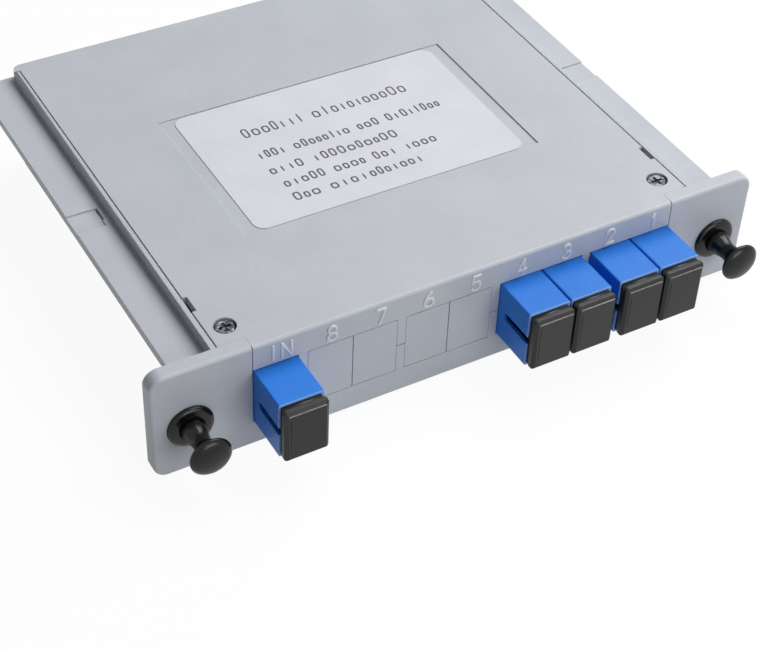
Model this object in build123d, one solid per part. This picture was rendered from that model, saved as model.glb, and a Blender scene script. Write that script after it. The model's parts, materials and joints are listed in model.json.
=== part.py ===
"""Plug-in fibre optic splitter cassette: one fibre in, four out, with push-pull panel latches.

Frame in millimetres: X runs along the front panel with port 1 at the +X end, Y runs to the back
with 0 at the panel's seating face, Z is up with 0 at the underside.
"""
from build123d import *
from math import sqrt
import os

# Ports, from the input to output 1, and which of them hold an adapter
fitted = ["in", "4", "3", "2", "1"]
blanked = ["8", "7", "6", "5"]
socket_width = 7.5
socket_height = 9.1
adapter_side_wall = 0.775
adapter_top_wall = 1.75
adapter_reach = 10.0
adapter_edge = 0.35
pair_gap = 0.25
port_clearance = 0.1
lug_height = 1.1
lug_thickness = 1.8
lug_clearance = 0.2
comb_thickness = 1.5
keyway_width = 1.7
keyway_depth = 8.0
blank_wall = 1.2
blank_growth = 0.1

# Front panel, with ears outside the case
ear = 13.15
panel_thickness = 3.0
panel_corner = 2.8
panel_edge = 0.7
sill = 5.7
strip_height = 5.5
post = 1.8
post_height = 6.2
seam = 0.15

# Case behind the panel
side_room = 4.525
rear_room = 11.5
case_corner = 2.0
wall = 2.0
floor = 2.0
rim = 1.0
cover_thickness = 2.0
cover_gap = 0.25
corner_land = 0.4

# Side rails that slide in the rack
rail_reach = 7.55
rail_thickness = 1.8
rail_drop = 2.6
rail_corner = 6.0
detent_depth = 0.35
detent_start = 43.0
detent_length = 5.7
detent_inset = 1.65
detent_slit = 0.35
detent_slit_length = 3.9

# Ferrule, and the ceramic sleeve that joins two of them
fit = 0.05
ferrule_radius = 1.23
sleeve_grip = 0.02
sleeve_wall = 0.35
sleeve_length = 11.4
sleeve_slit = 0.5

# Sleeve holder inside each adapter
holder_wall = 0.5
holder_plate = 2.0
holder_lip = 0.4
holder_stop = 0.1
arm_gap = 0.35
arm_thickness = 0.8
arm_width = 4.0
arm_hook = 0.25
hook_length = 1.0
arm_end_gap = 1.9

# Dust caps
cap_side_inset = 0.075
cap_top_inset = 0.35
cap_thickness = 1.5
cap_corner = 0.8
cap_edge = 0.65
cap_standoff = 1.0
plug_clearance = 0.2
collar_depth = 2.5
nose_side_gap = 0.15
nose_end_gap = 3.1
nose_bore_room = 2.95

# Connectors plugged in from inside the case
connector_body = 7.1
ferrule_collar_length = 2.5
ferrule_collar_gap = 1.45
boot_length = 9.0
boot_shoulder = 1.5
boot_radius = 2.6
boot_tip = 0.95

# Fibre leads
fibre_radius = 0.45
fibre_sides = 8
hole_web = 0.2
bend_radius = 15.0
input_bend = 17.0
sway_radius = 11.0
drop_lead = 11.7
lane_run = 26.0
lane_margin = 2.25
lead_room = 54.7

# Splitter module at the back of the case
module_length = 50.0
module_width = 7.0
module_height = 4.0
module_wall = 0.4
module_x = -1.0
module_corner = 0.6
end_cap = 2.0
cap_insert = 3.0
chip_length = 24.0
chip_side_gap = 0.6
clip_wall = 1.2
clip_length = 6.0
clip_height = 3.2
clip_spacing = 30.0
guide_wall = 1.2
guide_height = 5.0
guide_gap = 0.35

# Cover screws and their bosses
screw_room = 1.675
screw_y = 4.5
screw_head = 1.95
screw_head_height = 0.95
screw_head_bevel = 0.25
screw_core = 1.05
screw_clearance = 0.3
screw_length = 8.0
boss_radius = 3.0
boss_flat = 0.1
counterbore_clearance = 0.2
counterbore_depth = 1.2
cross_width = 0.55
cross_reach = 2.4
cross_depth = 0.6

# Cover details
label_front = 25.6
label_width = 59.8
label_length = 39.5
label_thickness = 0.15
label_corner = 2.5
recess_side_margin = 2.8
recess_end_margin = 0.3
recess_depth = 0.3
notch_length = 4.2
notch_width = 0.85
notch_front = 10.4
notch_depth = 8.0
hook_width = 8.0
hook_x = 30.0
hook_thickness = 1.2
hook_drop = 4.5
hook_catch = 0.9
hook_clearance = 0.4

# Push-pull latches
latch_side = 5.85
latch_z = 10.7
shaft_radius = 2.45
barrel_wall = 0.75
barrel_length = 5.5
barrel_lead = 0.6
barrel_taper = 0.4
barrel_slit = 0.7
slit_start = 0.8
leg_inset = 0.25
flange_lip = 1.3
flange_thickness = 0.75
flange_rim = 0.3
flange_bevel = 0.5
mouth_flare = 0.35
mouth_depth = 0.35
head_lip = 1.6
head_back = 7.9
head_front = 9.9
head_dome = 0.6
head_bevel = 0.5
waist_inset = 0.6
waist_start = 1.2
waist_middle = 4.4
flare_slope = 0.35
tip_lip = 0.4
tip_rim = 0.7
tip_length = 2.4
tip_taper = 1.15

# How far a cutting solid runs past what it cuts
past = 1.0

# Worked out: the row of ports
adapter_width = socket_width + 2 * adapter_side_wall
adapter_height = socket_height + 2 * adapter_top_wall
port_pitch = adapter_width + pair_gap
pairs = (len(fitted) + len(blanked)) // 2
opening_width = port_pitch + adapter_width + 2 * port_clearance
input_opening = adapter_width + 2 * port_clearance
window_half = (pairs * (opening_width + post) + input_opening) / 2
pair_centres = [window_half - opening_width / 2 - k * (opening_width + post) for k in range(pairs)]
port_x = {"in": -window_half + input_opening / 2}
for pair, centre in enumerate(pair_centres):
    port_x[str(2 * pair + 1)] = centre + port_pitch / 2
    port_x[str(2 * pair + 2)] = centre - port_pitch / 2
post_x = [centre - opening_width / 2 - post / 2 for centre in pair_centres]
port_z = sill + port_clearance + adapter_height / 2

# Worked out: the heights and widths of the panel and case
opening_height = adapter_height + 2 * port_clearance
strip_bottom = sill + opening_height
panel_height = strip_bottom + strip_height
post_top = sill + post_height
inner = window_half + side_room
half_case = inner + wall
panel_width = 2 * (half_case + ear)
ledge = panel_height - cover_thickness
rail_top = panel_height - rail_drop
rail_edge = half_case + rail_reach
rear_strip = case_corner + corner_land
screw_x = window_half + screw_room
counterbore = screw_head + counterbore_clearance
recess_width = label_width + 2 * recess_side_margin
recess_length = label_length + 2 * recess_end_margin
label_y = label_front + label_length / 2

# Worked out: the adapters and what plugs into them
adapter_front = -panel_thickness - adapter_reach
lug_y = lug_clearance + lug_thickness / 2
adapter_back = 2 * lug_y - adapter_front
comb_y = 2 * lug_clearance + lug_thickness
sleeve_bore = ferrule_radius + sleeve_grip
sleeve_radius = sleeve_bore + sleeve_wall
holder_radius = sleeve_radius + fit + holder_wall
half_tube = sleeve_length / 2 + fit + holder_lip
half_plate = holder_plate / 2
arm_inner = socket_height / 2 - arm_gap - arm_thickness
arm_reach = lug_y - adapter_front - collar_depth - arm_end_gap
cap_width = adapter_width - 2 * cap_side_inset
cap_height = adapter_height - 2 * cap_top_inset
plug_width = socket_width - 2 * plug_clearance
plug_height = socket_height - 2 * plug_clearance
nose_height = 2 * (arm_inner - arm_hook - nose_side_gap)
nose_bore = holder_radius + plug_clearance
connector_back = adapter_back + connector_body
ferrule_step = lug_y + half_tube + ferrule_collar_gap
ferrule_back = ferrule_step + ferrule_collar_length
boot_end = connector_back + boot_length

# Worked out: the module, and the lanes that the leads follow round to its ends
fibre_hole = fibre_radius + fit
fibre_pitch = 2 * fibre_hole + hole_web
module_y = boot_end + lead_room
module_z = floor + module_height / 2
module_end = module_length / 2 + end_cap + guide_gap
case_depth = module_y + rear_room
outer_bend = bend_radius + 3 * fibre_pitch
outer_lane = inner - lane_margin
input_lane = lane_margin - inner
drop_start = boot_end + drop_lead
drop_end = module_y - lane_run

# Worked out: the latches
bore_radius = shaft_radius + fit
barrel_radius = bore_radius + barrel_wall
leg_radius = barrel_radius - leg_inset
flange_radius = barrel_radius + flange_lip
head_radius = shaft_radius + head_lip
tip_radius = shaft_radius + tip_lip
latch_x = half_case + latch_side


def block(x0, x1, y0, y1, z0, z1):
    """Rectangular solid between two corners."""
    return Pos((x0 + x1) / 2, (y0 + y1) / 2, (z0 + z1) / 2) * Box(x1 - x0, y1 - y0, z1 - z0)


def side_block(side, x0, x1, y0, y1, z0, z1):
    """Rectangular solid whose X values are distances out to one side."""
    return block(*sorted((side * x0, side * x1)), y0, y1, z0, z1)


def bar(x, z, width, height, y0, y1, corner=0.0):
    """Bar along Y with a rectangular section, rounded along its length if asked."""
    solid = Pos(x, (y0 + y1) / 2, z) * Box(width, y1 - y0, height)
    return fillet(solid.edges().filter_by(Axis.Y), corner) if corner else solid


def turned(outline, x, z):
    """Turned solid about an axis along Y. The outline is (radius, distance in front of Y = 0)."""
    line = Polyline(*[(r, 0, h) for r, h in outline], close=True)
    return Pos(x, 0, z) * Rot(90, 0, 0) * revolve(make_face(line), Axis.Z)


def rod(x, z, radius, y0, y1):
    """Round rod along Y."""
    return Pos(x, (y0 + y1) / 2, z) * Rot(90, 0, 0) * Cylinder(radius, y1 - y0)


def post_rod(x, y, radius, z0, z1):
    """Round rod along Z."""
    return Pos(x, y, (z0 + z1) / 2) * Cylinder(radius, z1 - z0)


def nearest(solid, wanted):
    """Edges of the solid that lie where the wanted ones lay."""
    return [min(solid.edges(), key=lambda e: (e.center() - w.center()).length) for w in wanted]


def panel():
    """Front panel: rounded plate with the row of openings cut down from its top edge."""
    outline = Plane.XZ * Pos(0, panel_height / 2) * RectangleRounded(panel_width, panel_height, panel_corner)
    plate = extrude(outline, panel_thickness)
    front = plate.faces().sort_by(Axis.Y)[0]
    plate = fillet(front.outer_wire().edges(), panel_edge)
    plate -= block(-window_half, window_half, -panel_thickness - past, past, sill, panel_height + past)
    for x in post_x:
        plate += block(x - post / 2, x + post / 2, -panel_thickness, 0, sill, post_top)
    for side in (-1, 1):
        plate -= rod(side * latch_x, latch_z, barrel_radius + fit, -panel_thickness - past, past)
    return plate


def channel():
    """Case section, with its rebated walls and side rails, drawn from front to back."""
    half = [
        (half_case, 0),
        (half_case, rail_top - rail_thickness),
        (rail_edge, rail_top - rail_thickness),
        (rail_edge, rail_top),
        (half_case, rail_top),
        (half_case, panel_height),
        (half_case - rim, panel_height),
        (half_case - rim, ledge),
        (inner, ledge),
        (inner, floor),
    ]
    outline = half + [(-x, z) for x, z in reversed(half)]
    section = make_face(Polyline(*[(x, 0, z) for x, z in outline], close=True))
    solid = extrude(section, case_depth, dir=(0, 1, 0))
    solid += block(-inner, inner, case_depth - wall, case_depth, floor, ledge)
    solid -= block(-half_case, half_case, case_depth - rear_strip, case_depth + past,
                   ledge, panel_height + past)
    upright = solid.edges().filter_by(Axis.Z).group_by(Axis.Y)[-1]
    rail_ends = [e for e in upright if abs(abs(e.center().X) - rail_edge) < fit]
    corners = [e for e in upright if abs(abs(e.center().X) - half_case) < fit]
    solid = fillet(rail_ends, rail_corner)
    return fillet(nearest(solid, corners), case_corner)


def detents(solid):
    """Shallow step and spring slit in each rail, where the rack's catch clicks in."""
    low = rail_top - rail_thickness
    inset = half_case + detent_inset
    end = detent_start + detent_length
    for side in (-1, 1):
        solid -= side_block(side, inset, rail_edge + past, detent_start, end, rail_top - detent_depth,
                            rail_top + past)
        solid -= side_block(side, inset - detent_slit, inset, end - detent_slit_length, end, low - past,
                            rail_top + past)
    return solid


def screw_bosses():
    """Posts for the cover screws, joined to the wall and flattened beside the adapters."""
    flat = window_half + boss_flat
    middle = inner + wall / 2
    bosses = []
    for side in (-1, 1):
        boss = post_rod(side * screw_x, screw_y, boss_radius, floor, ledge)
        boss &= side_block(side, flat, middle, 0, case_depth, 0, panel_height)
        boss += side_block(side, screw_x, middle, 0, screw_y + past, floor, ledge)
        boss -= post_rod(side * screw_x, screw_y, screw_core + fit, floor + past, ledge + past)
        bosses.append(boss)
    return bosses


def module_clips():
    """Two U-shaped clips on the floor that hold the splitter module."""
    clips = []
    for along in (-1, 1):
        x = module_x + along * clip_spacing / 2
        bed = module_width / 2 + fit
        outer = bed + clip_wall
        clip = block(x - clip_length / 2, x + clip_length / 2, module_y - outer, module_y + outer,
                     floor, floor + clip_height)
        clip -= block(x - clip_length, x + clip_length, module_y - bed, module_y + bed,
                      floor, floor + clip_height + past)
        clips.append(clip)
    return clips


def fibre_guide(x, y, radius, start):
    """Quarter-round rib on the floor that the leads bend round."""
    ring = post_rod(x, y, radius, floor, floor + guide_height)
    ring -= post_rod(x, y, radius - guide_wall, floor, floor + guide_height)
    turn = Pos(x, y, 0) * Rot(0, 0, start)
    return ring & (turn * block(0, radius + past, 0, radius + past, 0, panel_height))


def base_housing():
    """Lower shell: panel, floor, walls and rails moulded as one."""
    solid = detents(channel()) + panel()
    solid += block(-window_half, window_half, comb_y, comb_y + comb_thickness, floor, sill)
    for boss in screw_bosses():
        solid += boss
    for clip in module_clips():
        solid += clip
    reach = fibre_radius + guide_gap
    module_room = block(module_x - module_end, module_x + module_end, module_y - module_width,
                        module_y + module_width, floor, ledge)
    solid += fibre_guide(outer_lane - outer_bend, module_y + 1.5 * fibre_pitch - outer_bend,
                         bend_radius - reach, 0) - module_room
    solid += fibre_guide(input_lane + input_bend, module_y - input_bend, input_bend - reach,
                         90) - module_room
    edge = half_case - rim - cover_gap
    pocket = hook_width / 2 + hook_clearance
    back = case_depth - wall
    low = ledge - hook_drop
    for side in (-1, 1):
        solid -= side_block(side, edge - notch_width, half_case - rim, notch_front,
                            notch_front + notch_length, ledge - notch_depth, panel_height + past)
        solid -= block(side * hook_x - pocket, side * hook_x + pocket, back - past,
                       back + hook_catch + hook_clearance, low - hook_clearance,
                       low + hook_thickness + hook_clearance)
    return solid


def top_cover():
    """Upper shell: plate, number strip between the ears, and fingers down to the posts."""
    edge = half_case - rim - cover_gap
    tongue = window_half - seam
    rear = case_depth - rear_strip + seam
    plan = Pos(0, (seam + rear) / 2) * Rectangle(2 * edge, rear - seam)
    plan += Pos(0, (rear + case_depth) / 2) * Rectangle(2 * half_case, case_depth - rear)
    plan += Pos(0, (seam - panel_thickness) / 2) * Rectangle(2 * tongue, panel_thickness + seam)
    solid = extrude(Pos(0, 0, ledge) * plan, cover_thickness)
    corners = solid.edges().filter_by(Axis.Z).group_by(Axis.Y)[-1]
    solid = fillet(corners, case_corner)
    solid += block(-tongue, tongue, -panel_thickness, 0, strip_bottom, ledge)
    front_top = solid.edges().filter_by(Axis.X).group_by(Axis.Z)[-1].sort_by(Axis.Y)[0]
    solid = fillet(front_top, panel_edge)
    for x in post_x:
        solid += block(x - post / 2, x + post / 2, -panel_thickness, 0, post_top + seam, strip_bottom)
    solid += block(-tongue, tongue, comb_y, comb_y + comb_thickness, strip_bottom + port_clearance, ledge)
    solid -= Pos(0, label_y, panel_height) * Box(recess_width, recess_length, 2 * recess_depth)
    back = case_depth - wall - lug_clearance
    low = ledge - hook_drop
    for side in (-1, 1):
        x = side * screw_x
        solid -= post_rod(x, screw_y, counterbore, panel_height - counterbore_depth, panel_height + past)
        solid -= post_rod(x, screw_y, screw_core + screw_clearance, ledge - past, panel_height)
        solid -= side_block(side, edge - notch_width, edge + past, notch_front, notch_front + notch_length,
                            ledge - past, panel_height + past)
        left, right = side * hook_x - hook_width / 2, side * hook_x + hook_width / 2
        solid += block(left, right, back - hook_thickness, back, low, ledge)
        solid += block(left, right, back - hook_thickness, back + hook_catch, low, low + hook_thickness)
    return solid


def label():
    """Rectangular paper label with rounded corners, stuck in the cover's recess."""
    sheet = RectangleRounded(label_width, label_length, label_corner)
    return extrude(Pos(0, label_y, panel_height - recess_depth) * sheet, label_thickness)


def cover_screw(side):
    """Self-tapping screw with a cross recess in its flat head."""
    x = side * screw_x
    seat = panel_height - counterbore_depth
    top = seat + screw_head_height
    screw = post_rod(x, screw_y, screw_head, seat, top)
    screw = chamfer(screw.edges().group_by(Axis.Z)[-1], screw_head_bevel)
    screw += post_rod(x, screw_y, screw_core, seat - screw_length, seat)
    for width, reach in ((cross_width, cross_reach), (cross_reach, cross_width)):
        screw -= Pos(x, screw_y, top) * Box(width, reach, 2 * cross_depth)
    return screw


def lugs(x):
    """Lugs above and below a port's body that drop into the groove behind the panel."""
    height = adapter_height + 2 * lug_height
    return bar(x, port_z, adapter_width, height, lug_y - lug_thickness / 2, lug_y + lug_thickness / 2)


def adapter(x):
    """Adapter housing: rounded tube with lugs, and a keyway slot in its left wall at each end."""
    body = bar(x, port_z, adapter_width, adapter_height, adapter_front, adapter_back, adapter_edge)
    body += lugs(x)
    body -= bar(x, port_z, socket_width, socket_height, adapter_front - past, adapter_back + past)
    left = x - adapter_width / 2
    through = 2 * adapter_side_wall
    for mouth, inward in ((adapter_front, 1), (adapter_back, -1)):
        stop = mouth + inward * (keyway_depth - keyway_width / 2)
        y0, y1 = sorted((mouth - inward * past, stop))
        body -= block(left - through, left + through, y0, y1,
                      port_z - keyway_width / 2, port_z + keyway_width / 2)
        body -= Pos(left, stop, port_z) * Rot(0, 90, 0) * Cylinder(keyway_width / 2, 2 * through)
    return body


def blank(x):
    """Blanking plate: a tray open at the back, flush with the panel and held by the same lugs."""
    back = lug_y + lug_thickness / 2
    width = adapter_width + blank_growth
    plate = bar(x, port_z, width, adapter_height, -panel_thickness, back) + lugs(x)
    return plate - bar(x, port_z, adapter_width - 2 * blank_wall, adapter_height - 2 * blank_wall,
                       blank_wall - panel_thickness, back + past)


def dust_cap(x):
    """Dust cap: bevelled face plate, a collar that fills the socket, and a bored nose."""
    back = adapter_front - cap_standoff
    plate = bar(x, port_z, cap_width, cap_height, back - cap_thickness, back, cap_corner)
    plate = chamfer(plate.faces().sort_by(Axis.Y)[0].outer_wire().edges(), cap_edge)
    collar_end = adapter_front + collar_depth
    plate += bar(x, port_z, plug_width, plug_height, back, collar_end)
    nose_end = lug_y - half_plate - nose_end_gap
    plate += bar(x, port_z, plug_width, nose_height, collar_end, nose_end)
    return plate - rod(x, port_z, nose_bore, lug_y - half_tube - nose_bore_room, nose_end + past)


def sleeve_holder(x):
    """Sleeve holder: centre plate, tube for the sleeve, and spring arms towards each mouth."""
    solid = bar(x, port_z, socket_width, socket_height, lug_y - half_plate, lug_y + half_plate)
    for up in (-1, 1):
        z = port_z + up * (arm_inner + arm_thickness / 2)
        solid += bar(x, z, arm_width, arm_thickness, lug_y - arm_reach, lug_y + arm_reach)
        z -= up * arm_hook
        for end in (lug_y - arm_reach, lug_y + arm_reach - hook_length):
            solid += bar(x, z, arm_width, arm_thickness, end, end + hook_length)
    solid += rod(x, port_z, holder_radius, lug_y - half_tube, lug_y + half_tube)
    solid -= rod(x, port_z, sleeve_radius - holder_stop, lug_y - half_tube - past, lug_y + half_tube + past)
    return solid - rod(x, port_z, sleeve_radius + fit, lug_y - half_tube + holder_lip,
                       lug_y + half_tube - holder_lip)


def split_sleeve(x):
    """Ceramic sleeve, slit along its length so that it grips the ferrules."""
    y0, y1 = lug_y - sleeve_length / 2, lug_y + sleeve_length / 2
    sleeve = rod(x, port_z, sleeve_radius, y0, y1) - rod(x, port_z, sleeve_bore, y0 - past, y1 + past)
    return sleeve - bar(x, port_z + sleeve_radius, sleeve_slit, sleeve_radius, y0 - past, y1 + past)


def connector(x):
    """Connector body plugged in from inside, with a nose between the holder's arms."""
    shoulder = adapter_back - collar_depth
    nose_front = lug_y + half_plate + nose_end_gap
    solid = bar(x, port_z, plug_width, plug_height, shoulder, connector_back)
    solid += bar(x, port_z, plug_width, nose_height, nose_front, shoulder)
    solid -= rod(x, port_z, nose_bore, nose_front - past, ferrule_back)
    return solid - rod(x, port_z, fibre_hole, ferrule_back - past, connector_back + past)


def ferrule(x):
    """Ceramic ferrule with the collar that seats it in the connector."""
    collar = rod(x, port_z, nose_bore - fit, ferrule_step, ferrule_back)
    return rod(x, port_z, ferrule_radius, lug_y + fit, ferrule_step) + collar


def boot(x):
    """Tapered strain relief behind the connector."""
    near, far = -connector_back, -boot_end
    return turned([(fibre_hole, near), (boot_radius, near), (boot_radius, near - boot_shoulder),
                   (boot_tip, far), (fibre_hole, far)], x, port_z)


def lead(points, radii):
    """Fibre lead along straight runs joined by tangent arcs, its round section drawn with flats."""
    route = FilletPolyline(*points, radius=radii)
    start = Plane(origin=points[0], z_dir=Vector(*points[1]) - Vector(*points[0]))
    section = start * RegularPolygon(fibre_radius, fibre_sides)
    solid = sweep(section, path=route)
    ratio = solid.volume / (section.area * route.length)
    print("lead radii", [round(r, 1) for r in radii], "length", round(route.length, 1),
          "volume ratio", round(ratio, 4))
    return solid


def input_lead():
    """Lead from the input port round the left guide into the module."""
    x = port_x["in"]
    points = [(x, ferrule_back, port_z), (x, drop_start, port_z), (input_lane, drop_end, module_z),
              (input_lane, module_y, module_z), (module_x - chip_length / 2, module_y, module_z)]
    return lead(points, [sway_radius, sway_radius, input_bend])


def output_lead(number):
    """Lead from the module round the right guide to an output port."""
    rank = int(number) - 1
    x = port_x[number]
    y = module_y + (1.5 - rank) * fibre_pitch
    lane = outer_lane - rank * fibre_pitch
    points = [(module_x + chip_length / 2, y, module_z), (lane, y, module_z), (lane, drop_end, module_z),
              (x, drop_start, port_z), (x, ferrule_back, port_z)]
    return lead(points, [outer_bend - rank * fibre_pitch, sway_radius, sway_radius])


def module_case():
    """Rectangular metal tube round the splitter chip."""
    tube = Pos(module_x, module_y, module_z) * Box(module_length, module_width, module_height)
    tube = fillet(tube.edges().filter_by(Axis.X), module_corner)
    bore = Box(module_length + past, module_width - 2 * module_wall, module_height - 2 * module_wall)
    return tube - Pos(module_x, module_y, module_z) * bore


def splitter_chip():
    """Waveguide chip between its fibre arrays, as one glued block."""
    width = module_width - 2 * module_wall - 2 * chip_side_gap
    return Pos(module_x, module_y, module_z) * Box(chip_length, width, module_height - 2 * module_wall)


def module_cap(side, offsets):
    """Rubber end cap of the module, with a hole for each lead."""
    end = module_x + side * module_length / 2
    cap = Pos(end + side * end_cap / 2, module_y, module_z) * Box(end_cap, module_width, module_height)
    cap = fillet(cap.edges().filter_by(Axis.X), module_corner)
    cap += Pos(end - side * cap_insert / 2, module_y, module_z) * Box(
        cap_insert, module_width - 2 * module_wall, module_height - 2 * module_wall)
    for offset in offsets:
        hole = Cylinder(fibre_hole, 2 * (end_cap + cap_insert + past))
        cap -= Pos(end, module_y + offset, module_z) * Rot(0, 90, 0) * hole
    return cap


def latch_grommet(side):
    """Latch grommet: bevelled flange on the panel, a collar in its hole and split legs behind it."""
    face = panel_thickness
    flange = face + flange_thickness
    x = side * latch_x
    solid = turned([(bore_radius, -barrel_length), (leg_radius - barrel_taper, -barrel_length),
                    (leg_radius, barrel_lead - barrel_length), (leg_radius, -slit_start),
                    (barrel_radius, -slit_start), (barrel_radius, face), (flange_radius, face),
                    (flange_radius, face + flange_rim), (flange_radius - flange_bevel, flange),
                    (bore_radius + mouth_flare, flange), (bore_radius, flange - mouth_depth)], x, latch_z)
    slit_end = barrel_length + past
    for turn in (45, 135):
        slit = Box(barrel_slit, slit_end - slit_start, 2 * flange_radius)
        solid -= Pos(x, (slit_start + slit_end) / 2, latch_z) * Rot(0, turn, 0) * slit
    return solid


def latch_plunger(side):
    """Latch plunger: domed head, a neck that narrows to a waist, and a shaft with a stop at its tip."""
    face = panel_thickness
    tip = -barrel_length - fit
    front = face + head_front
    rim_height = front - head_dome
    rim_radius = head_radius - head_bevel
    dome = (rim_radius**2 + head_dome**2) / (2 * head_dome)
    middle = front - dome + sqrt(dome**2 - (rim_radius / 2) ** 2)
    shaft = [(0, front), (0, tip - tip_length), (tip_radius - tip_taper, tip - tip_length),
             (tip_radius, tip - tip_rim), (tip_radius, tip), (shaft_radius, tip),
             (shaft_radius, face + waist_start)]
    neck = [(shaft_radius, face + waist_start), (shaft_radius - waist_inset, face + waist_middle),
            (rim_radius, face + head_back)]
    head = [(rim_radius, face + head_back), (head_radius, face + head_back + head_bevel),
            (head_radius, rim_height - head_bevel), (rim_radius, rim_height)]
    lines = [Polyline(*[(r, 0, h) for r, h in line]) for line in (shaft, head)]
    flare = Spline(*[(r, 0, h) for r, h in neck], tangents=[(0, 0, 1), (1, 0, flare_slope)])
    crown = ThreePointArc((rim_radius, 0, rim_height), (rim_radius / 2, 0, middle), (0, 0, front))
    outline = Wire([*lines[0].edges(), flare.edge(), *lines[1].edges(), crown.edge()])
    return Pos(side * latch_x, 0, latch_z) * Rot(90, 0, 0) * revolve(make_face(outline), Axis.Z)


os.makedirs("parts", exist_ok=True)
nodes = {"base_housing": base_housing(), "top_cover": top_cover(), "label_sticker": label()}
for name, side in (("left", -1), ("right", 1)):
    nodes["cover_screw_" + name] = cover_screw(side)
    nodes["latch_grommet_" + name] = latch_grommet(side)
    nodes["latch_plunger_" + name] = latch_plunger(side)
for number in blanked:
    nodes["blanking_plate_" + number] = blank(port_x[number])
for port in fitted:
    for kind, make in (("adapter", adapter), ("dust_cap", dust_cap), ("sleeve_holder", sleeve_holder),
                       ("split_sleeve", split_sleeve), ("connector", connector), ("ferrule", ferrule),
                       ("boot", boot)):
        nodes[kind + "_" + port] = make(port_x[port])
nodes["fibre_in"] = input_lead()
for number in ("1", "2", "3", "4"):
    nodes["fibre_" + number] = output_lead(number)
nodes["module_case"] = module_case()
nodes["splitter_chip"] = splitter_chip()
nodes["module_cap_in"] = module_cap(-1, [0.0])
nodes["module_cap_out"] = module_cap(1, [(1.5 - rank) * fibre_pitch for rank in range(4)])
for node, solid in nodes.items():
    export_step(solid, "parts/" + node + ".step")
print(len(nodes), "nodes")
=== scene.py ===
"""Fibre optic splitter cassette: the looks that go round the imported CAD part. Lengths are in metres,
and those given in millimetres are turned into metres by mm."""
import json
import math

import bmesh
import bpy
import numpy as np
from mathutils import Matrix, Vector

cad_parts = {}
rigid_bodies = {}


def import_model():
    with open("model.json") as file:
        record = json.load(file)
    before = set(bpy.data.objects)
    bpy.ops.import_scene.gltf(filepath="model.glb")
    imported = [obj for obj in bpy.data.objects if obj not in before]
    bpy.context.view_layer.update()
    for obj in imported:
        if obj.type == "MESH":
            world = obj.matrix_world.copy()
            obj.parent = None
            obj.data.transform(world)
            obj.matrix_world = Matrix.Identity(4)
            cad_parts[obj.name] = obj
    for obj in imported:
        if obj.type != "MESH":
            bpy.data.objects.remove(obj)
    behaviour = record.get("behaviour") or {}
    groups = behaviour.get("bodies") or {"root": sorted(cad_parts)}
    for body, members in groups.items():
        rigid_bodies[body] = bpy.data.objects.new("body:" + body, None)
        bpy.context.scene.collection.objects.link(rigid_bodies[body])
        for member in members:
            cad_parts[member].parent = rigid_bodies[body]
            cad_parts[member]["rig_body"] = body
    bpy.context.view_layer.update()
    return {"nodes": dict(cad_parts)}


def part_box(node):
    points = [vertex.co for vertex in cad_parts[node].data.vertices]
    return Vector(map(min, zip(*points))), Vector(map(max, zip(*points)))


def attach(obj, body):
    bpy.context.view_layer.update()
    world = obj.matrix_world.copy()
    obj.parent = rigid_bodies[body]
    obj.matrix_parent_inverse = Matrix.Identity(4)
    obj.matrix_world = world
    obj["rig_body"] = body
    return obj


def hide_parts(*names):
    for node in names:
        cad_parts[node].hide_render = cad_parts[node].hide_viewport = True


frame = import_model()
mm = 0.001


# Studio

# A plain white table top that keeps the shadow, one wide soft lamp overhead to the right, and a small
# one in front. The camera stands where the photograph was taken from.

eye = bpy.data.cameras.new("camera")
eye.sensor_fit, eye.sensor_width, eye.lens = "HORIZONTAL", 36.0, 84.63
eye.clip_start, eye.clip_end = 0.01, 20.0
camera = bpy.data.objects.new("camera", eye)
bpy.context.collection.objects.link(camera)

# The camera's own right, up and forward directions, and its place.

right, up, ahead = (0.87182, -0.48867, 0.03360), (0.30625, 0.59733, 0.74122), (0.38228, 0.63592, -0.67042)
stand = (-0.1437, -0.2094, 0.2362)
camera.matrix_world = Matrix([(r, u, -a, s) for r, u, a, s in zip(right, up, ahead, stand)] + [(0, 0, 0, 1)])
bpy.context.scene.camera = camera
bpy.context.scene.view_settings.view_transform = "Standard"


def lamp(name, place, target, size, power):
    """A square soft lamp that faces its target."""
    light = bpy.data.lights.new(name, "AREA")
    light.shape, light.size, light.energy = "SQUARE", size, power
    holder = bpy.data.objects.new(name, light)
    bpy.context.collection.objects.link(holder)
    facing = Vector(place) - Vector(target)
    holder.matrix_world = Matrix.Translation(place) @ facing.to_track_quat("Z", "Y").to_matrix().to_4x4()


lamp("overhead_lamp", (0.66, 0.2, 1.0), (0, 0.03, 0.01), 0.9, 16.3)
lamp("front_lamp", (0.1, -0.66, 0.2), (0, 0, 0.01), 0.45, 2.0)


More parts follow.
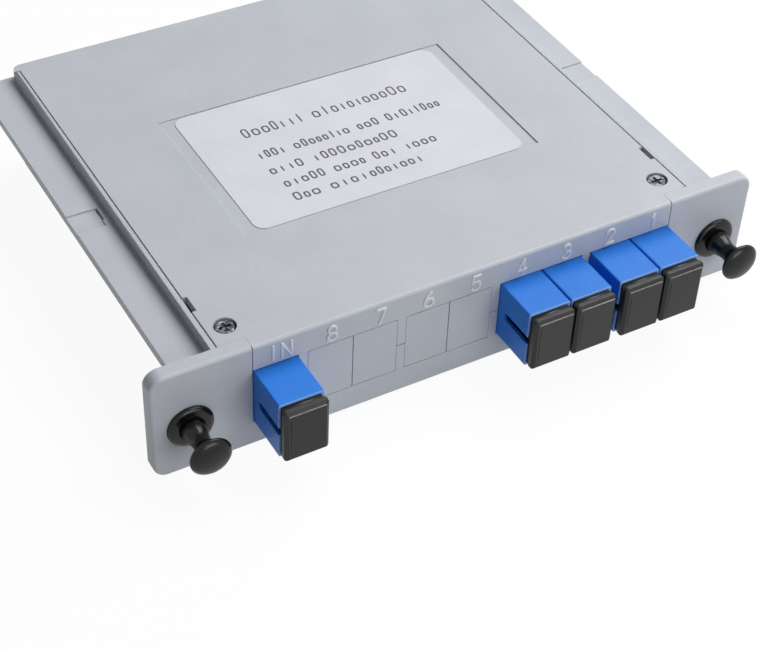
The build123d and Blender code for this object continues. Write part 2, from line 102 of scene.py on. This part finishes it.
class Wire:
    """A value in a finish, held as a node's socket. Sums written with it add the nodes they need."""

    def __init__(self, socket):
        self.socket = socket

    def node(self, kind, setup=(), plugs=(), out=0):
        """Adds a node of this kind: its settings first, then the values or wires of its sockets."""
        tree = self.socket.id_data
        made = tree.nodes.new("ShaderNode" + kind)
        for key, value in dict(setup).items():
            setattr(made, key, value)
        for key, value in dict(plugs).items():
            if isinstance(value, Wire):
                tree.links.new(value.socket, made.inputs[key])
            else:
                made.inputs[key].default_value = value
        return Wire(made.outputs[out])

    def sum_of(self, operation, *others):
        """A Math node of this operation on the wire and the others."""
        return self.node("Math", {"operation": operation}, enumerate((self,) + others))

    def __add__(self, other):
        return self.sum_of("ADD", other)

    def __mul__(self, other):
        return self.sum_of("MULTIPLY", other)

    def __sub__(self, other):
        return self.sum_of("SUBTRACT", other)

    def __rsub__(self, other):
        return self.node("Math", {"operation": "SUBTRACT"}, {0: other, 1: self})

    __radd__, __rmul__ = __add__, __mul__

    def above(self, low, high):
        """0 under low and 1 over high, with a smooth step between."""
        return self.node("MapRange", {"interpolation_type": "SMOOTHSTEP"}, {0: self, 1: low, 2: high})

    def blend(self, one, two):
        """Colour one where the value is 0 and colour two where it is 1."""
        return self.node("Mix", {"data_type": "RGBA"}, {0: self, 6: one, 7: two}, 2)

    def noise(self, scale, detail=2.0, roughness=0.5):
        """Cloudy noise over the place that this wire holds."""
        return self.node("TexNoise", (), {"Vector": self, "Scale": scale, "Detail": detail,
                                          "Roughness": roughness})


def rgb(red, green, blue):
    """A screen colour, 0 to 255, as the linear light that a shader takes."""
    return tuple(((c / 255 + 0.055) / 1.055) ** 2.4 for c in (red, green, blue)) + (1.0,)


def seen_rays(tree):
    """1 for the rays that show a background: the camera's, and those off gloss and through glass."""
    paths = tree.nodes.new("ShaderNodeLightPath").outputs
    glossy = Wire(paths["Is Camera Ray"]).sum_of("MAXIMUM", Wire(paths["Is Glossy Ray"]))
    return glossy.sum_of("MAXIMUM", Wire(paths["Is Transmission Ray"]))


sky = bpy.data.worlds.new("studio")
sky.use_nodes = True
bpy.context.scene.world = sky
tree = sky.node_tree
seen = seen_rays(tree)
dim = seen.node("Background", (), {"Color": (0.93, 0.96, 1.0, 1.0), "Strength": 0.07})
white = seen.node("Background", (), {"Color": (1.0, 1.0, 1.0, 1.0), "Strength": 1.0})
studio = seen.node("MixShader", (), {0: seen, 1: dim, 2: white})
tree.links.new(studio.socket, tree.nodes["World Output"].inputs["Surface"])

table_half, table_drop = 3.0, 0.0003
corners = [(table_half * x, table_half * y, -table_drop) for x, y in ((-1, -1), (1, -1), (1, 1), (-1, 1))]
table_mesh = bpy.data.meshes.new("table_top")
table_mesh.from_pydata(corners, [], [(0, 1, 2, 3)])
table_top = bpy.data.objects.new("table_top", table_mesh)
bpy.context.collection.objects.link(table_top)
table_paint = bpy.data.materials.new("table_paint")
table_paint.use_nodes = True
tree = table_paint.node_tree
seen = seen_rays(tree)
paint = seen.node("BsdfDiffuse", (), {"Color": seen.blend((0.72, 0.72, 0.73, 1.0), (0.95, 0.95, 0.95, 1.0))})
white = seen.node("Emission", (), {"Color": (1.0, 1.0, 1.0, 1.0), "Strength": 1.0})

# Where it is seen, the table top is plain white but for a small share of paint, which shows the shadow.

plain_share = 0.94
surface = seen.node("MixShader", (), {0: seen * plain_share, 1: paint, 2: white})
tree.links.new(surface.socket, tree.nodes["Material Output"].inputs["Surface"])
table_mesh.materials.append(table_paint)


# Lower shell

# Light grey ABS, injection moulded in one shot: panel, floor, walls and the two rails. The mould was
# fine-blasted, so the plastic has a dull skin with a fine grain, and every edge is slightly eased. The
# side walls' top edges are rolled over further.

def new_finish(name, **fixed):
    """A finish: its material, its shader with the fixed values set, and the place on the piece."""
    finish = bpy.data.materials.new(name)
    finish.use_nodes = True
    skin = finish.node_tree.nodes["Principled BSDF"]
    for key, value in fixed.items():
        skin.inputs[key.replace("_", " ").title().replace("Ior", "IOR")].default_value = value
    place = Wire(finish.node_tree.nodes.new("ShaderNodeTexCoord").outputs["Object"])
    return finish, skin, place


def plug(skin, **wires):
    """Joins wires to the shader's sockets."""
    for key, wire in wires.items():
        skin.id_data.links.new(wire.socket, skin.inputs[key.replace("_", " ").title()])


def moulded(name, base, tint, rough, grain, depth, **fixed):
    """Moulded plastic: a faint cloud in the colour, a fine grain as bumps, and a few rubbed patches."""
    finish, skin, place = new_finish(name, **fixed)
    cloud = place.noise(70.0, 3.0)
    speck = place.noise(grain, 2.0, 0.65)
    rubbed = place.noise(230.0, 5.0, 0.7).above(0.56, 0.72)
    mottled = (cloud * 0.55 + speck * 0.45).above(0.32, 0.68)
    plug(skin, base_color=mottled.blend(base, tint),
         roughness=speck * 0.14 + ((rough - 0.05) - rubbed * 0.08),
         normal=place.node("Bump", (), {"Strength": 0.6, "Distance": depth, "Height": speck}))
    return finish


case_grey = moulded("case_grey", rgb(180, 184, 191), rgb(188, 192, 199), 0.46, 2600.0, 0.00003)
case_ease = 0.06 * mm
rim_round = 0.55 * mm


def eased(node, width, finish, rolled=None, pressed=None):
    """A copy of a CAD solid with its faces merged and its hard edges rounded over by this width. Where
    rolled is given, edges that it picks by their middle point (mm) are rounded over by rim_round first.
    pressed changes the merged faces before that. No point may leave the box of the solid."""
    source = frame["nodes"][node]
    mesh = source.data.copy()
    shape = bmesh.new()
    shape.from_mesh(mesh)
    bmesh.ops.remove_doubles(shape, verts=shape.verts, dist=1e-6)
    bmesh.ops.dissolve_limit(shape, angle_limit=math.radians(0.5), verts=shape.verts, edges=shape.edges)
    if pressed:
        pressed(shape)
    if rolled:
        mark = shape.edges.layers.float.new("bevel_weight_edge")
        for edge in shape.edges:
            edge[mark] = float(rolled((edge.verts[0].co + edge.verts[1].co) / (2 * mm)))
    shape.to_mesh(mesh)
    shape.free()
    for layer in ("custom_normal", "sharp_edge", "sharp_face"):
        if layer in mesh.attributes:
            mesh.attributes.remove(mesh.attributes[layer])
    mesh.polygons.foreach_set("use_smooth", np.ones(len(mesh.polygons), bool))
    mesh.materials.clear()
    mesh.materials.append(finish)
    piece = bpy.data.objects.new(node + "_eased", mesh)
    bpy.context.collection.objects.link(piece)
    rounds = [("ANGLE", width, 2)]
    if rolled:
        rounds.insert(0, ("WEIGHT", rim_round, 4))
    for limit, size, steps in rounds:
        rounding = piece.modifiers.new("rounding", "BEVEL")
        rounding.limit_method, rounding.angle_limit = limit, math.radians(30)
        rounding.width, rounding.segments = size, steps
        rounding.use_clamp_overlap, rounding.loop_slide = False, False
    flat = piece.modifiers.new("flat faces", "WEIGHTED_NORMAL")
    flat.weight, flat.keep_sharp = 100, False
    shown = piece.evaluated_get(bpy.context.evaluated_depsgraph_get())
    piece.data = bpy.data.meshes.new_from_object(shown)
    piece.modifiers.clear()
    spots = np.empty(3 * len(piece.data.vertices))
    piece.data.vertices.foreach_get("co", spots)
    lo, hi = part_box(node)
    piece.data.vertices.foreach_set("co", np.clip(spots.reshape(-1, 3), lo, hi).ravel())
    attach(piece, source["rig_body"])
    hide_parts(node)


wall_outside, wall_top = 51.85, 24.0
wall_front, wall_back = 1.0, 90.0
near = 0.05


def wall_rim(middle):
    """Picks the outer top edges of the side walls."""
    on_wall = abs(abs(middle.x) - wall_outside) < near and abs(middle.z - wall_top) < near
    return on_wall and wall_front < middle.y < wall_back


eased("base_housing", case_ease, case_grey, rolled=wall_rim)


# Splitter module

# A drawn steel tube on the case floor, held by two moulded clips. The glass chip is glued inside it
# and a rubber cap closes each end round the leads.

def dress(node, finish):
    """Puts a finish on a CAD solid."""
    mesh = frame["nodes"][node].data
    mesh.materials.clear()
    mesh.materials.append(finish)


tube_steel, skin, place = new_finish("tube_steel", metallic=1.0)
drawn = place.node("Mapping", (), {"Vector": place, "Scale": (30.0, 2500.0, 2500.0)}).noise(1.0, 3.0)
plug(skin, base_color=drawn.blend(rgb(150, 152, 156), rgb(190, 192, 196)), roughness=drawn * 0.25 + 0.2,
     normal=place.node("Bump", (), {"Strength": 0.3, "Distance": 0.00001, "Height": drawn}))
dress("module_case", tube_steel)

chip_glass, skin, place = new_finish("chip_glass")
cured = place.noise(900.0, 2.0)
plug(skin, base_color=cured.blend(rgb(190, 200, 205), rgb(215, 222, 224)), roughness=cured * 0.2 + 0.08)
dress("splitter_chip", chip_glass)

soft_rubber = moulded("soft_rubber", rgb(38, 38, 42), rgb(52, 52, 56), 0.62, 1800.0, 0.00003)
dress("module_cap_in", soft_rubber)
dress("module_cap_out", soft_rubber)


# Leads, connectors and boots

# White-jacketed 0.9 mm fibres run from the module to a blue connector behind each port. A ceramic
# ferrule sits in each connector's nose, and a tapered rubber boot holds the lead behind it.

jacket, skin, place = new_finish("jacket")
streak = place.noise(1400.0, 2.0)
plug(skin, base_color=streak.blend(rgb(226, 226, 222), rgb(238, 238, 234)), roughness=streak * 0.2 + 0.28)
ceramic, skin, place = new_finish("ceramic", coat_weight=0.4, coat_roughness=0.05)
fired = place.noise(3000.0, 2.0)
plug(skin, base_color=fired.blend(rgb(232, 231, 226), rgb(244, 243, 239)), roughness=fired * 0.1 + 0.12)
connector_blue = moulded("connector_blue", rgb(34, 84, 180), rgb(44, 100, 200), 0.38, 2400.0, 0.00002)
for port in ("in", "4", "3", "2", "1"):
    dress("fibre_" + port, jacket)
    dress("connector_" + port, connector_blue)
    dress("ferrule_" + port, ceramic)
    dress("boot_" + port, soft_rubber)


# Adapters

# Bright blue PBT tubes that drop into the panel from above, with a keyway slot in the left wall and a
# mouth whose rim is painted pale, a painted highlight for the light it catches. Each holds a
# natural-white clip, which closes round a slit ceramic sleeve.

adapter_blue = moulded("adapter_blue", rgb(30, 116, 212), rgb(38, 126, 224), 0.4, 2200.0, 0.00002,
                       specular_ior_level=0.25)
skin = adapter_blue.node_tree.nodes["Principled BSDF"]
plastic = Wire(skin.inputs["Base Color"].links[0].from_socket)
from_front = plastic.node("SeparateXYZ", (), {0: plastic.node("TexCoord", (), (), 3)}, 1)
# Painted highlight: the front 0.18 mm of each adapter is painted pale blue, in place of the light that the
# mouth's rim catches.
highlight_rim_front, highlight_rim_back = -0.01298, -0.0128
plug(skin, base_color=from_front.above(highlight_rim_front, highlight_rim_back).blend(rgb(136, 180, 240), plastic))
clip_white = moulded("clip_white", rgb(222, 219, 208), rgb(234, 231, 221), 0.42, 2000.0, 0.00002,
                     subsurface_weight=0.1, subsurface_radius=(0.0004, 0.0003, 0.0002))
adapter_ease = 0.1 * mm
for port in ("in", "4", "3", "2", "1"):
    eased("adapter_" + port, adapter_ease, adapter_blue)
    dress("sleeve_holder_" + port, clip_white)
    dress("split_sleeve_" + port, ceramic)


# Blanking plates

# Case plastic, moulded apart and dropped into the four unused ports, flush with the panel. A thin dark
# line stays round each, where the plate doesn't quite fill its opening.

plate_ease = 0.05 * mm
for number in "8765":
    eased("blanking_plate_" + number, plate_ease, case_grey)


# Upper shell

# The cover plate, in the same grey plastic, with the number strip and its fingers moulded on. It hooks
# in at the back, and two screws hold it in front.

eased("top_cover", case_ease, case_grey)


def shells(name, finish, parts, body):
    """One piece from closed shells, each given as its vertices and its faces."""
    points, faces, start = [], [], 0
    for corners, rings in parts:
        faces += [tuple(int(i) + start for i in ring) for ring in rings]
        points.append(corners)
        start += len(corners)
    mesh = bpy.data.meshes.new(name)
    mesh.from_pydata(np.concatenate(points).tolist(), [], faces)
    shape = bmesh.new()
    shape.from_mesh(mesh)
    bmesh.ops.recalc_face_normals(shape, faces=shape.faces)
    shape.to_mesh(mesh)
    shape.free()
    mesh.polygons.foreach_set("use_smooth", np.ones(len(mesh.polygons), bool))
    mesh.materials.append(finish)
    piece = bpy.data.objects.new(name, mesh)
    bpy.context.collection.objects.link(piece)
    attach(piece, body)
    return piece


def rings_to_faces(rings, sides):
    """Quads between neighbouring rings of points, and one face over each end."""
    ring, side = np.meshgrid(np.arange(rings - 1), np.arange(sides), indexing="ij")
    here, there = ring * sides + side, ring * sides + (side + 1) % sides
    quads = np.stack([here, there, there + sides, here + sides], -1).reshape(-1, 4)
    return list(quads) + [np.arange(sides)[::-1], np.arange(sides) + (rings - 1) * sides]


# The joint between the cover and each ear closes on a thin L-shaped land, so that on top it shows as a
# shallow line.

strip_end = 45.325
seam = 0.15
land_front, land_side = -2.35, 50.6
land_bottom, land_top = 23.0, 23.95
land_line = np.array([(strip_end - seam, land_front), (strip_end, land_front), (strip_end, 0.0),
                      (land_side, 0.0), (land_side, seam), (strip_end - seam, seam)])
lands = []
for side in (-1, 1):
    levels = [np.column_stack([land_line * (side, 1), np.full(len(land_line), z)])
              for z in (land_bottom, land_top)]
    lands.append((np.concatenate(levels) * mm, rings_to_faces(2, len(land_line))))
seam_lands = shells("seam_lands", case_grey, lands, "cassette")
seam_lands.data.polygons.foreach_set("use_smooth", np.zeros(len(seam_lands.data.polygons), bool))

# Numbers over the ports, raised on the strip's front face by a line cut into the mould with a round
# cutter, so every stroke is a half-round ridge with round ends.

digit_height = 3.3
stroke_half = 0.3
stroke_proud = 0.32
strip_face = -3.0
number_middle = 21.0


def stroke(line, face=strip_face, half=stroke_half, proud=stroke_proud):
    """A raised line: an oval section, half sunk in the face, is carried along the line of (x, z)
    points. Past each end it shrinks as a quarter circle does, so that the end is round."""
    line, sides = np.asarray(line, float), 12
    turn = np.radians([8, 30, 55])
    starts, ends = line[0] - line[1], line[-1] - line[-2]
    nose = line[0] + np.cos(turn)[:, None] * half * starts / np.hypot(*starts)
    tail = line[-1] + np.cos(turn[::-1])[:, None] * half * ends / np.hypot(*ends)
    path = np.concatenate([nose, line, tail])
    scale = np.concatenate([np.sin(turn), np.ones(len(line)), np.sin(turn[::-1])])
    along = np.gradient(path, axis=0)
    along /= np.hypot(*along.T)[:, None]
    round_ = np.arange(sides) * math.tau / sides
    across = np.stack([-along[:, 1], along[:, 0]], -1)
    flat = path[:, None] + across[:, None] * (scale[:, None] * half * np.cos(round_))[..., None]
    depth = face - scale[:, None] * proud * np.sin(round_)
    points = np.stack([flat[..., 0], depth, flat[..., 1]], -1).reshape(-1, 3)
    return points * mm, rings_to_faces(len(path), sides)


def bow(x, z, wide, tall, start, end):
    """Points along part of an oval, from one angle to another in degrees."""
    turn = np.radians(np.linspace(start, end, 22))
    return np.stack([x + wide * np.cos(turn), z + tall * np.sin(turn)], -1)


# Each figure's strokes, as (x, z) points from the figure's middle.

half_digit = digit_height / 2
number_strokes = {
    "1": [[(-0.5, 1.05), (0.1, half_digit)], [(0.1, half_digit), (0.1, -half_digit)]],
    "2": [np.concatenate([bow(0, 0.8, 0.88, 0.85, 165, -40), [(-0.9, -half_digit)]]),
          [(-0.9, -half_digit), (0.95, -half_digit)]],
    "3": [bow(0, 0.83, 0.8, 0.82, 155, -90), bow(0, -0.78, 0.92, 0.87, 90, -155)],
    "4": [[(0.45, -half_digit), (0.45, half_digit)], [(0.45, half_digit), (-0.95, -0.7)],
          [(-0.95, -0.7), (1.0, -0.7)]],
    "5": [[(0.8, half_digit), (-0.6, half_digit)], [(-0.6, half_digit), (-0.75, 0.15)],
          bow(-0.02, -0.65, 1.0, 1.0, 135, -150)],
    "6": [bow(0, -0.72, 0.92, 0.93, 0, 360), bow(0.95, -0.72, 1.87, 2.37, 180, 108)],
    "7": [[(-0.9, half_digit), (0.9, half_digit)], [(0.9, half_digit), (-0.3, -half_digit)]],
    "8": [bow(0, 0.86, 0.76, 0.79, 0, 360), bow(0, -0.8, 0.92, 0.85, 0, 360)],
    "I": [[(0, half_digit), (0, -half_digit)]],
    "N": [[(-0.95, -half_digit), (-0.95, half_digit)], [(-0.95, half_digit), (0.95, -half_digit)],
          [(0.95, -half_digit), (0.95, half_digit)]],
}
first_number, number_pitch = 41.0, 10.067
number_places = {str(n): first_number - number_pitch * (n - 1) for n in range(1, 9)}
number_places.update({"I": -41.3, "N": -38.6})
# The figures are painted paler than the case as a painted highlight, for the light that their raised strokes
# catch.
highlight_pale_grey = moulded("highlight_pale_grey", rgb(206, 209, 214), rgb(220, 222, 226), 0.4, 2600.0, 0.00002)
ridges = [stroke(np.asarray(line) + (x, number_middle)) for figure, x in number_places.items()
          for line in number_strokes[figure]]
shells("port_numbers", highlight_pale_grey, ridges, "cassette")


# Label

# Matt coated paper stuck in the cover's recess, printed with plain dark marks in four rows and a taller
# row as their heading.

label_paper, skin, place = new_finish("label_paper", specular_ior_level=0.35)
fibre = place.noise(1500.0, 4.0, 0.6)
cloud = place.noise(90.0, 2.0)
paper_cloud = (fibre * 0.5 + cloud * 0.5).above(0.3, 0.7)
plug(skin, base_color=paper_cloud.blend(rgb(211, 212, 219), rgb(219, 220, 226)),
     roughness=fibre * 0.15 + 0.45,
     normal=place.node("Bump", (), {"Strength": 0.35, "Distance": 0.00002, "Height": fibre}))
dress("label_sticker", label_paper)

print_ink, skin, place = new_finish("print_ink")
soaked = place.noise(2500.0, 3.0, 0.7)
plug(skin, base_color=soaked.blend(rgb(48, 48, 56), rgb(70, 70, 78)), roughness=soaked * 0.2 + 0.5)

# Each row: its base line in Y, its height, where it starts and ends in X, and the marks in each word.

label_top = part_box("label_sticker")[1].z / mm
pen = 0.34
ink_sunk, ink_proud = -0.01, 0.02
word_gap, letter_fill, narrow_share = 0.9, 0.36, 0.25
letter_heights = [0.72, 0.72, 1.0]
squareness = 0.6
label_rows = [(53.0, 3.1, -19.5, 18.5, (7, 11)), (45.4, 2.5, -20.0, 22.0, (4, 8, 3, 8)),
              (40.0, 2.5, -20.0, 9.0, (4, 10)), (35.2, 2.5, -19.3, 15.3, (5, 4, 3, 4)),
              (30.6, 2.5, -19.5, 9.7, (3, 11))]


def loop_faces(rings, sides):
    """Quads over a grid of points that closes on itself both ways round."""
    ring, side = np.meshgrid(np.arange(rings), np.arange(sides), indexing="ij")
    here, there = ring * sides + side, ring * sides + (side + 1) % sides
    ahead = (ring + 1) % rings * sides
    return list(np.stack([here, there, ahead + (side + 1) % sides, ahead + side], -1).reshape(-1, 4))


def word_marks(rows):
    """Letter-sized rings of ink: a superellipse outline round each mark's middle, and the same outline
    a pen's width further in, both from just under the paper's face to just above it. The marks' widths
    and heights vary by a seeded draw, and some are as narrow as a single pen stroke."""
    draw = np.random.default_rng(7)
    middles, halves, sides = [], [], 16
    for base, tall, x0, x1, words in rows:
        letters = np.concatenate([np.append(draw.uniform(0.8, 1.15, n), word_gap) for n in words])[:-1]
        gaps = np.cumsum([n + 1 for n in words])[:-1] - 1
        letters *= (x1 - x0) / letters.sum()
        ends = np.cumsum(letters)
        kept = np.delete(np.arange(len(letters)), gaps)
        high = tall * draw.choice(letter_heights, len(kept))
        wide = np.where(draw.random(len(kept)) < narrow_share, pen * 0.5, letter_fill * letters[kept])
        middles.append(np.stack([x0 + ends[kept] - letters[kept] / 2, base + high / 2], -1))
        halves.append(np.stack([wide, high / 2], -1))
    middles, halves = np.concatenate(middles), np.concatenate(halves)
    turn = np.arange(sides) * math.tau / sides
    outline = np.stack([np.sign(np.cos(turn)) * np.abs(np.cos(turn)) ** squareness,
                        np.sign(np.sin(turn)) * np.abs(np.sin(turn)) ** squareness], -1)
    loops = []
    for size, z in ((0.0, ink_sunk), (0.0, ink_proud), (pen, ink_proud), (pen, ink_sunk)):
        flat = middles[:, None] + np.maximum(halves - size, 0.01)[:, None] * outline
        loops.append(np.concatenate([flat, np.full(flat.shape[:2] + (1,), label_top + z)], -1))
    faces = loop_faces(4, sides)
    return [(np.concatenate(rings) * mm, faces) for rings in zip(*loops)]


printed = shells("label_print", print_ink, word_marks(label_rows), "cassette")
printed.data.polygons.foreach_set("use_smooth", np.zeros(len(printed.data.polygons), bool))


# Cover screws

# Small zinc-plated self-tapping screws with a cross recess. Their heads are sunk in the cover's front
# corners, and they cut their own threads in two posts of the lower shell.

zinc, skin, place = new_finish("zinc", metallic=1.0)
pitted = place.noise(1500.0, 2.0, 0.5)
plug(skin, base_color=pitted.above(0.4, 0.7).blend(rgb(70, 72, 76), rgb(132, 135, 140)),
     roughness=pitted * 0.2 + 0.24,
     normal=place.node("Bump", (), {"Strength": 0.3, "Distance": 0.00003, "Height": pitted}))
for side in ("left", "right"):
    eased("cover_screw_" + side, case_ease, zinc)


# Dust caps

# Soft black polyethylene, moulded in one piece and pushed into the adapters' mouths. The faces are
# painted darker towards the left and near-black behind them as painted shade, and a pale line along
# each top edge is a painted highlight.

cap_face = -15.38 * mm
cap_front = -15.0 * mm
cap_rim = 0.1 * mm
cap_ease = 0.05 * mm


def set_back(shape):
    """Sets the cap's face back a little, so that the lines on it stay inside the cap's size, and parts
    its middle from its rim, so that the middle is shaded flat."""
    for corner in shape.verts:
        corner.co.y = max(corner.co.y, cap_face)
    shape.normal_update()
    front = [f for f in shape.faces if f.normal.y < -0.99 and f.calc_center_median().y < cap_front]
    if len(front) > 1:
        bmesh.ops.dissolve_faces(shape, faces=front)
    shape.normal_update()
    face = min(shape.faces, key=lambda f: f.calc_center_median().y)
    bmesh.ops.inset_individual(shape, faces=[face], thickness=cap_rim)


def block(lo, hi):
    """A plain box between two corners, in mm."""
    picks = np.array([[x, y, z] for x in (0, 1) for y in (0, 1) for z in (0, 1)])
    return np.where(picks, hi, lo) * mm, [(0, 1, 3, 2), (4, 6, 7, 5), (0, 4, 5, 1), (2, 3, 7, 6),
                                          (0, 2, 6, 4), (1, 5, 7, 3)]


cap_black = moulded("cap_black", rgb(17, 16, 17), rgb(34, 32, 33), 0.44, 1100.0, 0.00003,
                    specular_ior_level=0.4)
skin = cap_black.node_tree.nodes["Principled BSDF"]
plastic = Wire(skin.inputs["Base Color"].links[0].from_socket)
spot = plastic.node("TexCoord", (), (), 3)
along, from_front = (plastic.node("SeparateXYZ", (), {0: spot}, axis) for axis in (0, 1))
# Painted shade: the caps are painted darker towards the left, for the light that falls off that way.
shade_left_end, shade_fade_end = -0.03, 0.005
left_shaded = along.above(shade_left_end, shade_fade_end).blend(rgb(13, 13, 14), plastic)
# Painted shade: everything behind each cap's face, its top bevel and shoulder too, is painted near-black, as
# the shade round the collar.
back_shade_start, back_shade_full = -0.01534, -0.01522
plug(skin, base_color=from_front.above(back_shade_start, back_shade_full).blend(left_shaded, rgb(7, 7, 7)))
# Painted highlight: a pale grey for the raised line along each cap's top edge, in place of the light that
# edge catches.
highlight_grey = moulded("highlight_grey", rgb(88, 86, 84), rgb(150, 147, 143), 0.35, 1500.0, 0.00002)

# On each cap, with X from its middle: a shoulder behind the face, a fine moulded line down the face, and
# the pale line along its top edge, a painted highlight. Each line has a half width and a height.

cap_places = {"in": -40.7, "4": 11.05, "3": 20.35, "2": 31.4, "1": 40.7}
shoulder_lo, shoulder_hi = (-4.15, -14.05, 6.6), (3.75, -13.02, 17.95)
face_line, face_line_half, face_line_proud = [(-3.1, 15.9), (-3.1, 8.3)], 0.16, 0.09
highlight_line, highlight_line_half, highlight_line_proud = [(-3.6, 17.33), (3.6, 17.33)], 0.13, 0.11
for port, x in cap_places.items():
    eased("dust_cap_" + port, cap_ease, cap_black, pressed=set_back)
    shoulder = shells("cap_shoulder_" + port, cap_black,
                      [block(np.add(shoulder_lo, (x, 0, 0)), np.add(shoulder_hi, (x, 0, 0))),
                       stroke(np.add(face_line, (x, 0)), cap_face / mm, face_line_half, face_line_proud)],
                      "dust_cap_" + port)
    edge = shells("cap_highlight_edge_" + port, highlight_grey,
                  [stroke(np.add(highlight_line, (x, 0)), cap_face / mm, highlight_line_half, highlight_line_proud)],
                  "dust_cap_" + port)


# Latches

# Glossy black nylon: a flanged grommet pressed through each ear, and a plunger that spreads the
# grommet's split barrel behind the rack frame when it is pushed in.

latch_black = moulded("latch_black", rgb(9, 9, 10), rgb(15, 15, 16), 0.2, 1500.0, 0.00001,
                      specular_ior_level=0.3)


def turned(profile, x, z, steps=72):
    """A ring: a closed profile of (radius, distance in front of the panel's back) is turned about an
    axis that runs to the back through (x, z)."""
    radius, forward = np.asarray(profile, float).T
    angle = np.arange(steps) * math.tau / steps
    flat = radius[None, :, None] * np.stack([np.cos(angle), np.sin(angle)], -1)[:, None]
    points = np.stack([x + flat[..., 0], np.broadcast_to(-forward, flat.shape[:2]), z + flat[..., 1]], -1)
    return points.reshape(-1, 3) * mm, loop_faces(steps, len(radius))


# The crown on each flange: from the flange's edge its outline runs inwards and rises as a flattened
# quarter oval, and then a lip turns down into the grommet's mouth.

latch_places = {"left": (-57.7, 10.7), "right": (57.7, 10.7)}
crown_radius, crown_run, crown_foot, crown_rise, crown_power = 4.5, 1.95, 3.35, 0.75, 2.2
swell = np.linspace(0, 1, 24)
crown = np.stack([crown_radius - crown_run * swell,
                  crown_foot + crown_rise * np.sqrt(1 - (1 - swell) ** crown_power)], -1)
lip = [(2.47, 4.02), (2.47, 3.3), (crown_radius, 3.2)]
for side, (x, z) in latch_places.items():
    eased("latch_grommet_" + side, case_ease, latch_black)
    eased("latch_plunger_" + side, case_ease, latch_black)
    shells("latch_crown_" + side, latch_black, [turned(list(crown) + lip, x, z)], "cassette")
